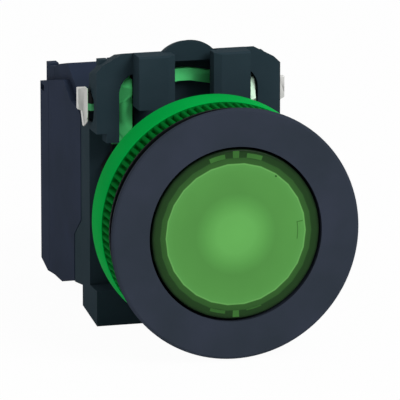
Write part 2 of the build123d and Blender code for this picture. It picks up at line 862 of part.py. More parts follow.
def make_bridge(x, closed_at_rest):
    front = contact_layout(closed_at_rest)[0]
    back = front + bridge_thickness
    half = bridge_length / 2
    bar = box_between(x - bridge_width / 2, x + bridge_width / 2, front, back, -half, half)
    bar = fillet(bar.edges().filter_by(Axis.Y), bridge_corner)
    for side in (-1, 1):
        tip_z = side * (half - bridge_tip_inset)
        if closed_at_rest:
            bar += rod(x, tip_z, contact_tip_diameter / 2, front - contact_tip_height, front + bond)
        else:
            bar += rod(x, tip_z, contact_tip_diameter / 2, back - bond, back + contact_tip_height)
    return bar


def make_bridge_spring(x, closed_at_rest):
    spring = contact_layout(closed_at_rest)[2]
    return coil(bridge_spring_radius, bridge_spring_wire, bridge_spring_coils, spring[0], spring[1], x=x)


def make_plunger_spring(x, closed_at_rest):
    stem_end = contact_layout(closed_at_rest)[3]
    return coil(contact_spring_radius, contact_spring_wire, contact_spring_coils, stem_end + touch_play,
                block_back_y - cover_floor - touch_play, x=x)


# A terminal strip runs from its contact tip to the screw; a closed contact's strip is bent forward
def make_strip(x, side, contact):
    back = strip_y + strip_thickness
    front = strip_y - strip_jog
    if contact == "closed":
        outline = [
            (front, strip_inner_z), (front, strip_bend_z + strip_thickness),
            (strip_y, strip_bend_z + strip_thickness), (strip_y, strip_outer_z), (back, strip_outer_z),
            (back, strip_bend_z), (front + strip_thickness, strip_bend_z), (front + strip_thickness, strip_inner_z),
        ]
    else:
        outline = [(strip_y, strip_inner_z), (strip_y, strip_outer_z), (back, strip_outer_z), (back, strip_inner_z)]
    points = [(y, side * z) for y, z in outline]
    strip = across(points, x - bridge_width / 2, x + bridge_width / 2)
    pad_half = cavity_half - strip_play
    low_z, high_z = sorted((side * strip_bend_z, side * strip_outer_z))
    strip += box_between(x - pad_half, x + pad_half, strip_y, back, low_z, high_z)
    strip -= rod(x, side * terminal_z, screw_shank / 2 + touch_play, strip_y - over, back + over)
    tip_z = side * (bridge_length / 2 - bridge_tip_inset)
    if contact == "closed":
        tip_back = front + strip_thickness
        strip += rod(x, tip_z, contact_tip_diameter / 2, tip_back - bond, tip_back + contact_tip_height)
    elif contact == "open":
        strip += rod(x, tip_z, contact_tip_diameter / 2, strip_y - contact_tip_height, strip_y + bond)
    return strip


def make_screws(x):
    """Two captive terminal screws with slotted heads."""
    head_front = wire_slot_y + wire_slot_length + clamp_thickness + touch_play
    head_back = head_front + screw_head_length
    screws = []
    for side in (-1, 1):
        z = side * terminal_z
        head = rod(x, z, screw_head / 2, head_front, head_back)
        head = chamfer(head.edges().filter_by(GeomType.CIRCLE).sort_by(Axis.Y)[-1], small_bevel)
        screw = head + rod(x, z, screw_shank / 2, head_front - screw_length, head_front + bond)
        screw -= box_between(x - screw_head, x + screw_head, head_back - screw_slot_depth, head_back + bond,
                             z - screw_slot_width / 2, z + screw_slot_width / 2)
        screws.append(screw)
    return Compound(children=screws)


def make_clamps(x):
    """The square clamp washers under the screw heads."""
    clamp_front = wire_slot_y + wire_slot_length
    clamp_back = clamp_front + clamp_thickness
    clamp_half = cavity_half - clamp_inset
    clamps = []
    for side in (-1, 1):
        z = side * terminal_z
        plate = box_between(x - clamp_half, x + clamp_half, clamp_front, clamp_back,
                            z - clamp_height / 2, z + clamp_height / 2)
        plate = chamfer(plate.edges().filter_by(Axis.Y), clamp_corner)
        plate -= rod(x, z, screw_shank / 2 + slide_clearance, clamp_front - over, clamp_back + over)
        clamps.append(plate)
    return Compound(children=clamps)


# The lamp: a domed light on a small board that stands across the lamp block
def make_lamp():
    flange_y = case_inner_y + layer_play
    dome_y = lamp_tip_y + lamp_radius
    dome = Pos(0, dome_y, 0) * Sphere(lamp_radius)
    stem = rod(0, 0, lamp_radius, dome_y, flange_y + bond)
    flange = rod(0, 0, cavity_half - lamp_flange_inset, flange_y, flange_y + lamp_flange_thickness)
    return dome + stem + flange


def make_board():
    front = case_inner_y + layer_play + lamp_flange_thickness + touch_play
    back = front + board_thickness
    half = cavity_half - strip_play
    plate = box_between(-half, half, front, back, board_bottom_z, board_top_z)
    capacitor = rod(0, capacitor_z, capacitor_radius, back - bond, back + capacitor_length)
    rectifier = box_between(-rectifier_half_width, rectifier_half_width, back - bond, back + rectifier_length,
                            rectifier_bottom_z, rectifier_top_z)
    return plate + capacitor + rectifier


write("bezel", make_bezel())
write("panel_gasket", make_gasket())
write("clamp_washer", make_washer())
write("clamp_nut", make_nut())
write("lens", make_lens())
write("diffuser", make_diffuser())
write("lens_carrier", make_carrier())
write("carrier_seal", make_seal())
write("pusher_ring", make_pusher())
write("return_spring", make_return_spring())
write("mounting_collar", make_collar())
write("lock_clip", make_clip())

for name, place, closed in (("left", -block_pitch, False), ("right", block_pitch, True)):
    contact = "closed" if closed else "open"
    write(name + "_contact_case", make_case(place, "contact"))
    write(name + "_contact_cover", make_cover(place))
    write(name + "_plunger", make_plunger(place, closed))
    write(name + "_bridge", make_bridge(place, closed))
    write(name + "_bridge_spring", make_bridge_spring(place, closed))
    write(name + "_plunger_spring", make_plunger_spring(place, closed))
    write(name + "_upper_contact", make_strip(place, 1, contact))
    write(name + "_lower_contact", make_strip(place, -1, contact))
    write(name + "_terminal_screws", make_screws(place))
    write(name + "_wire_clamps", make_clamps(place))

write("lamp_case", make_case(0.0, "lamp"))
write("lamp_cover", make_cover(0.0))
write("lamp", make_lamp())
write("lamp_board", make_board())
write("lamp_upper_contact", make_strip(0.0, 1, "lamp"))
write("lamp_lower_contact", make_strip(0.0, -1, "lamp"))
write("lamp_terminal_screws", make_screws(0.0))
write("lamp_wire_clamps", make_clamps(0.0))
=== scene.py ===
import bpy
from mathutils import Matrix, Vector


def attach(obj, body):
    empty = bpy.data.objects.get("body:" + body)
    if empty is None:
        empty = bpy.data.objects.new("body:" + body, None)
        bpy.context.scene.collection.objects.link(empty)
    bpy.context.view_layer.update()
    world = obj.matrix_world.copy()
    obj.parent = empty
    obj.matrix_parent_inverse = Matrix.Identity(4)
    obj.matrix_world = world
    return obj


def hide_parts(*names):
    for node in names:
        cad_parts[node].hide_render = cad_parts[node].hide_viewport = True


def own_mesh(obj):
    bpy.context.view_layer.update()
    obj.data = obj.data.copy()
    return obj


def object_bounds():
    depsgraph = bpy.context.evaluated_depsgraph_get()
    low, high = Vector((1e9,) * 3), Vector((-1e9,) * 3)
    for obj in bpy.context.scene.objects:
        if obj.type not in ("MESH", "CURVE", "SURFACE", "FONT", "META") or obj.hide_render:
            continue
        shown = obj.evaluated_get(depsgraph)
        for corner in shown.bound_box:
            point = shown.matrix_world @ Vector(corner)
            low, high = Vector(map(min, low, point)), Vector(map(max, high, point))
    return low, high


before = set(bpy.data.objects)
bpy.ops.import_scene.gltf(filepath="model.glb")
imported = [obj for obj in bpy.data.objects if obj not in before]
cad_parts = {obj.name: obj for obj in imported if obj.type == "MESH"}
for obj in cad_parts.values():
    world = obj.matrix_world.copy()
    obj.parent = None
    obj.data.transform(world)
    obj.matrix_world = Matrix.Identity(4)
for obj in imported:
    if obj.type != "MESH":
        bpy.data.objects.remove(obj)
cad_box = [list(corner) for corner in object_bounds()]

import math

import bmesh
import bpy
from mathutils import Matrix, Vector

# Camera
# A long lens low on the left of the button's axis, as the product is photographed.
# The two slides, in metres, put the object where it sits in the photograph's frame.
view_azimuth = math.radians(-15.75)
view_elevation = math.radians(13.13)
view_distance = 0.92308
slide_left = 0.004810
slide_up = 0.004700
backward = Vector((
    math.sin(view_azimuth) * math.cos(view_elevation),
    -math.cos(view_azimuth) * math.cos(view_elevation),
    math.sin(view_elevation),
))
rightward = Vector((math.cos(view_azimuth), math.sin(view_azimuth), 0.0))
upward = backward.cross(rightward)
camera_data = bpy.data.cameras.new("camera")
camera_data.sensor_width = 36.0
camera_data.lens = 542.6
camera = bpy.data.objects.new("camera", camera_data)
bpy.context.collection.objects.link(camera)
camera_axes = Matrix((rightward, upward, backward)).transposed().to_4x4()
camera_place = backward * view_distance - rightward * slide_left + upward * slide_up
camera.matrix_world = Matrix.Translation(camera_place) @ camera_axes
bpy.context.scene.camera = camera
bpy.context.scene.view_settings.view_transform = "Standard"

# Bezel and threaded barrel
# One injection moulding of glass-filled polyamide in a dark blue grey. The round face stays in
# front of the panel, and the barrel goes through its hole and carries everything else.
MM = 0.001


def linear(colour):
    """An sRGB hex colour as the linear RGBA that Blender's sockets take."""
    channels = [int(colour[i:i + 2], 16) / 255 for i in (1, 3, 5)]
    return [c / 12.92 if c <= 0.04045 else ((c + 0.055) / 1.055) ** 2.4
            for c in channels] + [1.0]


def add(tree, kind, settings=None, sockets=None):
    """Adds one node to a tree with its settings, and its sockets as values or as links."""
    node = tree.nodes.new(kind)
    for name, value in (settings or {}).items():
        setattr(node, name, value)
    for key, value in (sockets or {}).items():
        if isinstance(value, bpy.types.NodeSocket):
            tree.links.new(value, node.inputs[key])
        else:
            node.inputs[key].default_value = value
    return node


def start_material(name):
    """An empty material and the object's own coordinates, in metres."""
    material = bpy.data.materials.new(name)
    material.use_nodes = True
    tree = material.node_tree
    tree.nodes.clear()
    place = add(tree, "ShaderNodeTexCoord").outputs["Object"]
    return material, tree, place


def finish_material(tree, shader):
    """Shows the shader on the surface."""
    add(tree, "ShaderNodeOutputMaterial", sockets={"Surface": shader.outputs[0]})


def moulded(name, light, dark, roughness, grain_mm, relief_mm):
    """Moulded plastic: a slow drift of tone from the melt's flow, and the mould's fine grain."""
    flow_mm = 9
    gloss_spread = 0.05
    material, tree, place = start_material(name)
    flow = add(tree, "ShaderNodeTexNoise", sockets={
        "Vector": place, "Scale": 1 / (flow_mm * MM), "Detail": 3.0})
    tone = add(tree, "ShaderNodeValToRGB", sockets={"Fac": flow.outputs["Fac"]})
    tone.color_ramp.elements[0].position = 0.35
    tone.color_ramp.elements[0].color = linear(dark)
    tone.color_ramp.elements[1].position = 0.65
    tone.color_ramp.elements[1].color = linear(light)
    grain = add(tree, "ShaderNodeTexNoise", sockets={
        "Vector": place, "Scale": 1 / (grain_mm * MM), "Detail": 2.0})
    gloss = add(tree, "ShaderNodeMapRange", sockets={
        "Value": grain.outputs["Fac"],
        "To Min": roughness - gloss_spread, "To Max": roughness + gloss_spread})
    relief = add(tree, "ShaderNodeBump", sockets={
        "Height": grain.outputs["Fac"], "Distance": relief_mm * MM, "Strength": 0.6})
    shader = add(tree, "ShaderNodeBsdfPrincipled", sockets={
        "Base Color": tone.outputs["Color"], "Roughness": gloss.outputs["Result"],
        "Normal": relief.outputs["Normal"], "Specular IOR Level": 0.015})
    finish_material(tree, shader)
    return material


def dress(material, *nodes):
    """Gives CAD nodes their finish."""
    for node in nodes:
        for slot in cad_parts[node].material_slots:
            slot.material = material


# Polyamide from a spark-eroded mould: an even, matt surface that shows hardly any highlight.
# The real grain is about 0.1 mm across. It is drawn at 0.22 mm, so that it shows at all.
housing_plastic = moulded("polyamide_dark_grey", "#363c49", "#313842", 0.7, 0.22, 0.012)
dress(housing_plastic, "bezel")

# Panel gasket
# A flat ring of nitrile rubber, stamped from sheet. It lies in the groove in the bezel's rear
# face, and the nut squeezes it against the panel.

# Nitrile rubber: deep black without a highlight, under the dusty bloom that such rubber has.
gasket_rubber = moulded("nitrile_rubber", "#1a1b1c", "#121314", 0.85, 0.5, 0.02)
dress(gasket_rubber, "panel_gasket")

# Keyed washer
# A black acetal moulding between panel and nut. Two tongues run in the barrel's keyways, so it
# slides without turning, and the nut doesn't rub on the panel.

# Acetal: slightly waxy, so that its edges catch a soft grey light. Its grain is drawn coarser
# than the real one, so that it shows.
washer_acetal = moulded("acetal_black", "#17191b", "#101214", 0.4, 0.35, 0.008)
dress(washer_acetal, "clamp_washer")

# Clamp nut
# A moulding of green polyamide that is screwed on the barrel by hand, with 96 grip ribs in
# front and a rear face that is cored out between 12 ribs. One tree sets both rings of ribs.
nut_radius = 18.9
nut_bore = 15.06
nut_front = 2.15
nut_back = 12.25
nut_corner = 0.15
bore_chamfer = 0.5
washer_seat = 2.87
washer_room = 17.15
shoulder_radius = 17.4
grip_front = 2.65
grip_end = 6.5
grip_floor = 17.95
grip_ring = 18.25
pocket_floor = 7.35
pocket_inner = 16.36
pocket_outer = 17.6
rib_root = 0.2


def turned(name, outline, turns=256):
    """A closed solid turned about the button's axis from (radius, depth) points in millimetres."""
    mesh = bpy.data.meshes.new(name)
    shape = bmesh.new()
    rings = []
    for radius, depth in outline:
        if radius == 0:
            rings.append([shape.verts.new((0, depth * MM, 0))])
            continue
        angles = [2 * math.pi * k / turns for k in range(turns)]
        rings.append([shape.verts.new((
            radius * MM * math.cos(a), depth * MM, radius * MM * math.sin(a))) for a in angles])
    for first, second in zip(rings, rings[1:] + rings[:1]):
        for k in range(turns):
            corners = [first[k % len(first)], first[(k + 1) % len(first)],
                       second[(k + 1) % len(second)], second[k % len(second)]]
            corners = list(dict.fromkeys(corners))
            if len(corners) > 2:
                shape.faces.new(corners)
    bmesh.ops.recalc_face_normals(shape, faces=shape.faces)
    shape.to_mesh(mesh)
    shape.free()
    return mesh


def rounded(outline, radius, steps=4):
    """The outline as (x, y) points, with each corner that is given a True made a small arc."""
    points = []
    count = len(outline)
    for k, (x, y, soft) in enumerate(outline):
        if not soft:
            points.append((x, y))
            continue
        here = Vector((x, y))
        before = (Vector(outline[k - 1][:2]) - here).normalized()
        after = (Vector(outline[(k + 1) % count][:2]) - here).normalized()
        half = before.angle(after) / 2
        reach = radius / math.tan(half)
        start, end = here + before * reach, here + after * reach
        centre = here + (before + after).normalized() * (radius / math.sin(half))
        for s in range(steps + 1):
            mix = start.lerp(end, s / steps) - centre
            points.append(tuple(centre + mix.normalized() * radius))
    return points


def show(name, mesh, material, body, *replaced):
    """Links a finished piece, smooths it up to its sharp edges and hands it to the frame.

    With no material given, the mesh keeps the ones that it has.
    """
    piece = bpy.data.objects.new(name, mesh)
    bpy.context.collection.objects.link(piece)
    if material:
        mesh.materials.clear()
        mesh.materials.append(material)
    mesh.polygons.foreach_set("use_smooth", [True] * len(mesh.polygons))
    mesh.set_sharp_from_angle(angle=math.radians(32))
    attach(piece, body)
    if replaced:
        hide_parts(*replaced)
    return piece


def rib_ring_tree():
    """A tree that sets rounded bars round the axis and joins them to the solid that comes in."""
    tree = bpy.data.node_groups.new("rib_ring", "GeometryNodeTree")
    sizes = ("Ring Radius", "Rib Width", "Crest Width", "Rib Height", "Rib Length", "Rib Front")
    inputs = [("Geometry", "NodeSocketGeometry")]
    inputs += [(size, "NodeSocketFloat") for size in sizes]
    inputs += [("Rib Count", "NodeSocketInt"), ("Rib Finish", "NodeSocketMaterial")]
    for label, kind in inputs:
        tree.interface.new_socket(label, in_out="INPUT", socket_type=kind)
    tree.interface.new_socket("Geometry", in_out="OUTPUT", socket_type="NodeSocketGeometry")
    given = add(tree, "NodeGroupInput").outputs
    section = add(tree, "GeometryNodeCurvePrimitiveQuadrilateral", {"mode": "TRAPEZOID"}, {
        "Height": given["Rib Height"], "Bottom Width": given["Rib Width"],
        "Top Width": given["Crest Width"], "Offset": 0.0})
    outward = add(tree, "GeometryNodeTransform", sockets={
        "Geometry": section.outputs["Curve"], "Rotation": (0.0, 0.0, math.radians(-90))})
    corner = add(tree, "ShaderNodeMath", {"operation": "MULTIPLY"}, {
        0: given["Crest Width"], 1: 0.3})
    soft = add(tree, "GeometryNodeFilletCurve", {"mode": "POLY"}, {
        "Curve": outward.outputs["Geometry"], "Radius": corner.outputs[0], "Count": 2})
    tip = add(tree, "ShaderNodeCombineXYZ", sockets={"Z": given["Rib Length"]})
    path = add(tree, "GeometryNodeCurvePrimitiveLine", sockets={"End": tip.outputs[0]})
    bar = add(tree, "GeometryNodeCurveToMesh", sockets={
        "Curve": path.outputs["Curve"], "Profile Curve": soft.outputs["Curve"],
        "Fill Caps": True})
    ring = add(tree, "GeometryNodeMeshCircle", sockets={
        "Vertices": given["Rib Count"], "Radius": given["Ring Radius"]})
    spot = add(tree, "GeometryNodeInputPosition")
    aim = add(tree, "FunctionNodeAlignRotationToVector", {"axis": "X"}, {
        "Vector": spot.outputs[0]})
    bars = add(tree, "GeometryNodeInstanceOnPoints", sockets={
        "Points": ring.outputs["Mesh"], "Instance": bar.outputs["Mesh"],
        "Rotation": aim.outputs[0]})
    shift = add(tree, "ShaderNodeCombineXYZ", sockets={"Y": given["Rib Front"]})
    laid = add(tree, "GeometryNodeTransform", sockets={
        "Geometry": bars.outputs["Instances"], "Translation": shift.outputs[0],
        "Rotation": (math.radians(-90), 0.0, 0.0)})
    plain = add(tree, "GeometryNodeRealizeInstances", sockets={
        "Geometry": laid.outputs["Geometry"]})
    painted = add(tree, "GeometryNodeSetMaterial", sockets={
        "Geometry": plain.outputs[0], "Material": given["Rib Finish"]})
    joined = add(tree, "GeometryNodeJoinGeometry")
    tree.links.new(painted.outputs["Geometry"], joined.inputs[0])
    tree.links.new(given["Geometry"], joined.inputs[0])
    add(tree, "NodeGroupOutput", sockets={"Geometry": joined.outputs[0]})
    return tree


def grown(mesh, tree, rings):
    """Runs the tree once for each set of inputs and returns the result as a plain mesh."""
    carrier = bpy.data.objects.new("carrier", mesh)
    bpy.context.collection.objects.link(carrier)
    labels = {item.name: item.identifier
              for item in tree.interface.items_tree if item.in_out == "INPUT"}
    for inputs in rings:
        modifier = carrier.modifiers.new("rings", "NODES")
        modifier.node_group = tree
        for label, value in inputs.items():
            modifier[labels[label]] = value
    ready = carrier.evaluated_get(bpy.context.evaluated_depsgraph_get())
    result = bpy.data.meshes.new_from_object(ready)
    bpy.data.objects.remove(carrier)
    return result


# Polyamide in a signal green: strong and matt on the smooth band, like the bezel's plastic.
# The grip is drawn in a darker copy of that green, a little rougher: painted shade for the shadow
# on the ribs.
nut_green = moulded("polyamide_signal_green", "#00b34a", "#00ac46", 0.7, 0.3, 0.008)
grip_green_painted_shade = moulded("polyamide_green_painted_shade", "#00762a", "#006e26", 0.8, 0.2, 0.02)
grip_ribs = {
    "Ring Radius": grip_ring * MM, "Rib Width": 1.16 * MM, "Crest Width": 0.5 * MM,
    "Rib Height": 1.0 * MM, "Rib Length": (grip_end - grip_front) * MM,
    "Rib Front": grip_front * MM, "Rib Count": 96, "Rib Finish": grip_green_painted_shade,
}
rear_ribs = {
    "Ring Radius": (pocket_inner + pocket_outer) / 2 * MM, "Rib Width": 1.0 * MM,
    "Crest Width": 1.0 * MM, "Rib Height": 1.6 * MM,
    "Rib Length": (nut_back - pocket_floor + rib_root) * MM,
    "Rib Front": (pocket_floor - rib_root) * MM, "Rib Count": 12, "Rib Finish": nut_green,
}
ring_mesh = turned("nut_ring", rounded([
    (nut_bore, washer_seat, False), (washer_room, washer_seat, False),
    (washer_room, nut_front, False), (shoulder_radius, nut_front, False),
    (shoulder_radius, grip_front, False), (grip_floor, grip_front, False),
    (grip_floor, grip_end, False), (nut_radius, grip_end, True),
    (nut_radius, nut_back, True), (pocket_outer, nut_back, True),
    (pocket_outer, pocket_floor, False), (pocket_inner, pocket_floor, False),
    (pocket_inner, nut_back, True), (nut_bore + bore_chamfer, nut_back, False),
    (nut_bore, nut_back - bore_chamfer, False),
], nut_corner))
ring_mesh.materials.append(nut_green)
ring_mesh.materials.append(grip_green_painted_shade)
# All that lies in front of the grip's end takes the grip's painted shade
grip_painted_shade_end = grip_end + 0.01
for face in ring_mesh.polygons:
    if face.center.y < grip_painted_shade_end * MM:
        face.material_index = 1
nut_mesh = grown(ring_mesh, rib_ring_tree(), [grip_ribs, rear_ribs])
show("fixing_nut", nut_mesh, None, "nut", "clamp_nut")

# Shadow ring
# A thin ring of the washer's black acetal on the nut in front of the ribs, a dark piece put there
# as painted shadow: it is the dark line between bezel and grip, where only shade falls.
shadow_ring_radius = 18.7
shadow_ring_chamfer = 0.08
shadow_ring_front = grip_front - 0.4
shadow_gap_ring = show("shadow_gap_ring", turned("shadow_gap_ring", [
    (shoulder_radius, shadow_ring_front), (shadow_ring_radius - shadow_ring_chamfer, shadow_ring_front),
    (shadow_ring_radius, shadow_ring_front + shadow_ring_chamfer), (shadow_ring_radius, grip_front),
    (shoulder_radius, grip_front),
]), washer_acetal, "nut")

# Lens
# A cup of clear green polycarbonate from a polished mould, which snaps over the carrier. Its
# middle is drawn with the lit diffuser behind it as painted light, and the deep skirt round that
# in painted shade.
lens_radius = 13.3
lens_front = -2.5
lens_back = 5.2
lens_corner = 0.3
cup_radius = 12.3
cup_floor = -1.0
diffuser_flats = 26

# Polished polycarbonate, drawn opaque, with light and shade painted into its colour by the
# distance from the axis, for what lies behind the real one. Each stop is a radius in millimetres:
# the lit diffuser to 10.9 in painted light, brighter in the middle, its slightly faceted rim, the
# painted shadow of the gap round it, and the skirt in painted shade, darkest at its edge.
lens_light_and_shade_stops = [
    (0.0, "#68b25a"), (3.0, "#67b059"), (5.0, "#5b9f4e"), (6.4, "#549347"), (9.8, "#57984a"),
    (10.82, "#5a9c4e"), (10.9, "#6cae5e"), (11.02, "#62a254"), (11.1, "#345f2b"),
    (11.85, "#31592a"), (12.0, "#22401e"), (12.75, "#203c1c"), (13.0, "#183016"),
    (13.3, "#0e1b0f"),
]
lens_green, tree, place = start_material("polycarbonate_green_painted_light_and_shade")
axes = add(tree, "ShaderNodeSeparateXYZ", sockets={"Vector": place})
flat = add(tree, "ShaderNodeCombineXYZ", sockets={"X": axes.outputs["X"], "Z": axes.outputs["Z"]})
radius = add(tree, "ShaderNodeVectorMath", {"operation": "LENGTH"}, {0: flat.outputs[0]})
angle = add(tree, "ShaderNodeMath", {"operation": "ARCTAN2"}, {
    0: axes.outputs["Z"], 1: axes.outputs["X"]})
turn = add(tree, "ShaderNodeMath", {"operation": "MULTIPLY"}, {
    0: angle.outputs[0], 1: diffuser_flats / (2 * math.pi)})
within = add(tree, "ShaderNodeMath", {"operation": "FRACT"}, {0: turn.outputs[0]})
off = add(tree, "ShaderNodeMath", {"operation": "MULTIPLY_ADD"}, {
    0: within.outputs[0], 1: 2 * math.pi / diffuser_flats, 2: -math.pi / diffuser_flats})
bow = add(tree, "ShaderNodeMath", {"operation": "COSINE"}, {0: off.outputs[0]})
reach = add(tree, "ShaderNodeMath", {"operation": "MULTIPLY"}, {
    0: radius.outputs["Value"], 1: bow.outputs[0]})
share = add(tree, "ShaderNodeMath", {"operation": "DIVIDE"}, {
    0: reach.outputs[0], 1: lens_radius * MM})
lens_painted_light_and_shade = add(tree, "ShaderNodeValToRGB", sockets={"Fac": share.outputs[0]})
for stop, colour in lens_light_and_shade_stops[1:-1]:
    lens_painted_light_and_shade.color_ramp.elements.new(stop / lens_radius).color = linear(colour)
lens_painted_light_and_shade.color_ramp.elements[0].color = linear(lens_light_and_shade_stops[0][1])
lens_painted_light_and_shade.color_ramp.elements[-1].color = linear(lens_light_and_shade_stops[-1][1])
clouds = add(tree, "ShaderNodeTexNoise", sockets={
    "Vector": place, "Scale": 1 / (6 * MM), "Detail": 1.0})
shade = add(tree, "ShaderNodeMapRange", sockets={
    "Value": clouds.outputs["Fac"], "To Min": 0.94, "To Max": 1.06})
tinted = add(tree, "ShaderNodeVectorMath", {"operation": "SCALE"}, {
    0: lens_painted_light_and_shade.outputs["Color"], "Scale": shade.outputs["Result"]})
shader = add(tree, "ShaderNodeBsdfPrincipled", sockets={
    "Base Color": tinted.outputs["Vector"], "Roughness": 0.3, "IOR": 1.58,
    "Specular IOR Level": 0.05})
finish_material(tree, shader)

lens_outline = rounded([
    (0, lens_front, False), (lens_radius, lens_front, True), (lens_radius, lens_back, False),
    (cup_radius, lens_back, False), (cup_radius, cup_floor, False), (0, cup_floor, False),
], lens_corner, 6)
show("lens_cap", turned("lens_cap", lens_outline), lens_green, "button", "lens")

# Snap lugs of the lens
# Moulded on the skirt at top and bottom, a bar between two short arcs. The clear skirt carries
# their image to its front, so they are set flush in the front face here, a hair proud of it.
lug_skin = 0.012
bar_inner, bar_outer, bar_half = 11.95, 13.05, 2.3
lug_inner, lug_outer = 12.0, 12.72
lug_first, lug_last = 8.0, 19.5
low_bar_outer, low_lug_outer, low_stub_outer = 13.0, 12.5, 12.2


def arc_plate(shape, inner, outer, first, last, steps=10):
    """A thin plate on the lens's front, between two radii and two angles from straight up."""
    rows = []
    for depth in (lens_front - lug_skin, lens_front + lug_skin):
        for radius in (inner, outer):
            angles = [math.radians(first + (last - first) * k / steps) for k in range(steps + 1)]
            rows.append([shape.verts.new((
                radius * MM * math.sin(a), depth * MM, radius * MM * math.cos(a)))
                for a in angles])
    low, high, back_low, back_high = rows
    for one, two in ((low, high), (high, back_high), (back_high, back_low), (back_low, low)):
        for k in range(steps):
            shape.faces.new((one[k], one[k + 1], two[k + 1], two[k]))
    for k in (0, steps):
        shape.faces.new((low[k], high[k], back_high[k], back_low[k]))


def lens_plates(name, material, plates):
    """One piece of thin plates in the lens's front, which moves with the button."""
    shape = bmesh.new()
    for plate in plates:
        arc_plate(shape, *plate)
    bmesh.ops.recalc_face_normals(shape, faces=shape.faces)
    mesh = bpy.data.meshes.new(name)
    shape.to_mesh(mesh)
    shape.free()
    show(name, mesh, material, "button")


# The lens's polycarbonate where it is thickest: the lugs are drawn a little lighter than the
# skirt's painted shade round them, and the lower pair in painted shade, a little darker than the
# upper, as the photograph shows.
lug_green = moulded("polycarbonate_green_lug", "#467a3b", "#3d6e34", 0.3, 0.5, 0.002)
lug_green_painted_shade = moulded("polycarbonate_green_lug_painted_shade", "#3a6832", "#36602e", 0.3, 0.5, 0.002)
lens_plates("lens_lugs_top", lug_green, [
    (bar_inner, bar_outer, -bar_half, bar_half),
    (lug_inner, lug_outer, lug_first, lug_last),
    (lug_inner, lug_outer, -lug_last, -lug_first)])
lens_plates("lens_lug_bottom", lug_green, [
    (bar_inner, low_bar_outer, 180 - bar_half, 180 + bar_half)])
lens_plates("lens_lugs_bottom", lug_green_painted_shade, [
    (lug_inner, low_lug_outer, 180 + lug_first, 180 + lug_last),
    (bar_inner, low_stub_outer, 180 - lug_last, 180 - lug_first)])

# Diffuser key and gate mark
# A small tongue moulded on the diffuser's right side keeps it from turning in the lens. The dot
# near its rim is the scar where the melt came in. Both are seen through the lens.
key_inner, key_outer = 9.75, 10.75
key_half, key_edge = 7.6, 0.9
key_line = 0.16
gate_radius, gate_half = 10.8, 0.14
gate_angle, gate_spread = 36.0, 0.8

# Acrylic seen edge on, in painted shade on the lens's painted light: the key's outline is a thin
# line drawn darker than the lit disc, and the gate scar is a dark dot of painted shade.
key_edge_painted_shade = moulded("key_edge_painted_shade", "#477f3c", "#447a39", 0.3, 0.5, 0.002)
gate_scar_painted_shade = moulded("acrylic_gate_painted_shade", "#2f5c28", "#2a5324", 0.4, 0.5, 0.002)
lens_plates("diffuser_key", key_edge_painted_shade, [
    (key_inner, key_inner + key_line, 90 - key_half, 90 + key_half),
    (key_inner, key_outer, 90 - key_half - key_edge, 90 - key_half)])
lens_plates("gate_mark", gate_scar_painted_shade, [
    (gate_radius - gate_half, gate_radius + gate_half,
     gate_angle - gate_spread, gate_angle + gate_spread)])

# Diffuser, carrier, seal and pusher ring
# The diffuser is moulded in opal acrylic and lies in the lens. The carrier that plugs into the
# lens and the pusher ring are acetal, and the nitrile seal sits in the carrier's groove.

# Opal acrylic: a soft greenish white that spreads the lamp's light, with a low satin gloss.
opal = moulded("acrylic_opal", "#c9dcc2", "#bfd4b8", 0.35, 0.6, 0.004)
dress(opal, "diffuser")
dress(washer_acetal, "lens_carrier", "pusher_ring")
dress(gasket_rubber, "carrier_seal")

# Mounting collar
# A moulded frame that slips over the barrel's neck behind the panel, where the lock clip holds
# it. It has a sloping roof, two front pillars and a foot, and carries the three blocks.

# Polyamide with the bezel's grain, drawn a little darker and greener than the bezel's, which tells
# the collar from the bluer blocks behind it.
collar_plastic = moulded("polyamide_teal_grey", "#2e3d45", "#293940", 0.7, 0.22, 0.012)
dress(collar_plastic, "mounting_collar")

# Lock clip
# A stirrup stamped and bent from spring steel strip, which slides in the collar. Its arch shows
# in the window, its legs are pressed forward behind the two slots, and each side ends in a tab.
arch_half, arch_flat = 4.3, 1.0
arch_peak, arch_slope, arch_lean = 20.0, 0.196, 0.12
boss_inner, boss_outer = 8.7, 11.1
boss_bottom, boss_top = 8.9, 19.0
boss_depth = 1.4
lean_start, leg_lean, leg_twist = 14.9, 0.31, 0.12
twist_edge, deepest = 11.1, 2.6
wall = 0.06
merge_distance = 0.001 * MM
plane_tolerance = 1e-7

# Zones of its painted colour: the tabs' outer faces, the right leg, the painted shade and the
# painted highlight on the tabs
tab_face = (15.35 * MM, 15.45 * MM)
bare_side = (4.0 * MM, 11.5 * MM)
slot_foot = (8.4 * MM, 8.9 * MM)
leg_edge = (8.68 * MM, 8.78 * MM)
arch_edge = 5.6 * MM
bend_start, bend_end = 13.0 * MM, 15.4 * MM
glint_start, glint_height, glint_half = 14.6 * MM, 14.55 * MM, 0.55 * MM
glint_share = 0.4

# Passivated spring steel, rough enough to blur what it mirrors. What the real one mirrors is
# painted into its colour by place, because this plain strip doesn't catch it: a painted green
# reflection of the nut on the left, bare grey on the right leg and the tabs' outer faces, and
# painted shade near black inside the bends, along the legs' inner edges and below the slots,
# lifted in one band on the tabs' bends to a painted highlight, green on the left. The marks of
# rolling are some 0.05 mm wide and are drawn at 0.25 mm, so that they show, and the Bevel node
# softens the cut edges.
clip_steel, tree, place = start_material("steel_passivated_painted_reflections")
axes = add(tree, "ShaderNodeSeparateXYZ", sockets={"Vector": place})
aside = add(tree, "ShaderNodeMath", {"operation": "ABSOLUTE"}, {0: axes.outputs["X"]})
outer = add(tree, "ShaderNodeMapRange", sockets={
    "Value": aside.outputs[0], "From Min": tab_face[0], "From Max": tab_face[1]})
right = add(tree, "ShaderNodeMapRange", sockets={
    "Value": axes.outputs["X"], "From Min": bare_side[0], "From Max": bare_side[1],
    "To Max": 0.85})
